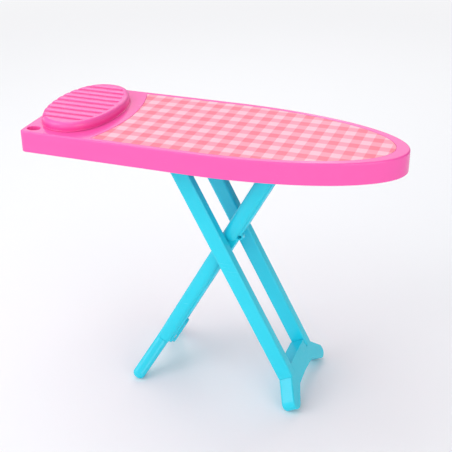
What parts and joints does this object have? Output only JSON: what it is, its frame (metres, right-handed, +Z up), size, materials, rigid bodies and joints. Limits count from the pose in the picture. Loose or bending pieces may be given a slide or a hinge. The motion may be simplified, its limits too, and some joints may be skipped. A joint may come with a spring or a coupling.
{
  "type": "toy ironing board",
  "caption": "Toy ironing board: tapered deck with a moulded rim, ribbed iron rest and gingham cover, on crossed folding legs with splayed feet.",
  "frame": {"origin": "middle of the bounding box in plan, on the floor that the feet stand on", "axes": "+X along the board towards its rounded nose, +Y across the board towards the rear edge, +Z up"},
  "size_m": [0.379, 0.1486, 0.3032],
  "materials": {
    "pink_plastic": "satin to glossy pink moulding",
    "turquoise_plastic": "glossy turquoise moulding",
    "printed_cover": "smooth printed sheet, pink and white gingham",
    "steel": "plated screws"
  },
  "bodies": {
    "board": {"board_shell": "pink_plastic", "iron_rest": "pink_plastic", "slide_rail_front": "pink_plastic", "slide_rail_back": "pink_plastic", "hinge_bracket_front": "pink_plastic", "hinge_bracket_back": "pink_plastic", "cover_sheet": "printed_cover", "rail_screw_front_1": "steel", "rail_screw_front_2": "steel", "rail_screw_back_1": "steel", "rail_screw_back_2": "steel", "bracket_screw_front_1": "steel", "bracket_screw_front_2": "steel", "bracket_screw_back_1": "steel", "bracket_screw_back_2": "steel", "rest_screw_1": "steel", "rest_screw_2": "steel"},
    "inner_frame": {"inner_rail_front": "turquoise_plastic", "inner_rail_back": "turquoise_plastic", "inner_foot_bar": "turquoise_plastic", "hinge_rod": "turquoise_plastic", "pivot_pin_front": "turquoise_plastic", "pivot_pin_back": "turquoise_plastic", "inner_foot_screw_front": "steel", "inner_foot_screw_back": "steel"},
    "outer_frame": {"outer_leg_front": "turquoise_plastic", "outer_leg_back": "turquoise_plastic", "outer_foot_bar": "turquoise_plastic", "slide_rod": "turquoise_plastic", "pivot_bush_front": "turquoise_plastic", "pivot_bush_back": "turquoise_plastic", "rod_cap_front": "turquoise_plastic", "rod_cap_back": "turquoise_plastic", "outer_foot_screw_front": "steel", "outer_foot_screw_back": "steel"}
  },
  "joints": [
    {"name": "inner_fold", "type": "hinge", "parent": "board", "child": "inner_frame", "pos_m": [0.06809, 0, 0.2772], "axis": [0, 1, 0], "range_deg": [0, 57.5]},
    {"name": "outer_fold", "type": "hinge", "parent": "inner_frame", "child": "outer_frame", "pos_m": [0.0098, 0, 0.1713], "axis": [0, 1, 0], "range_deg": [-115, 0]}
  ],
  "couplings": [
    {"joint": "outer_fold", "follows": "inner_fold", "ratio": -2}
  ]
}
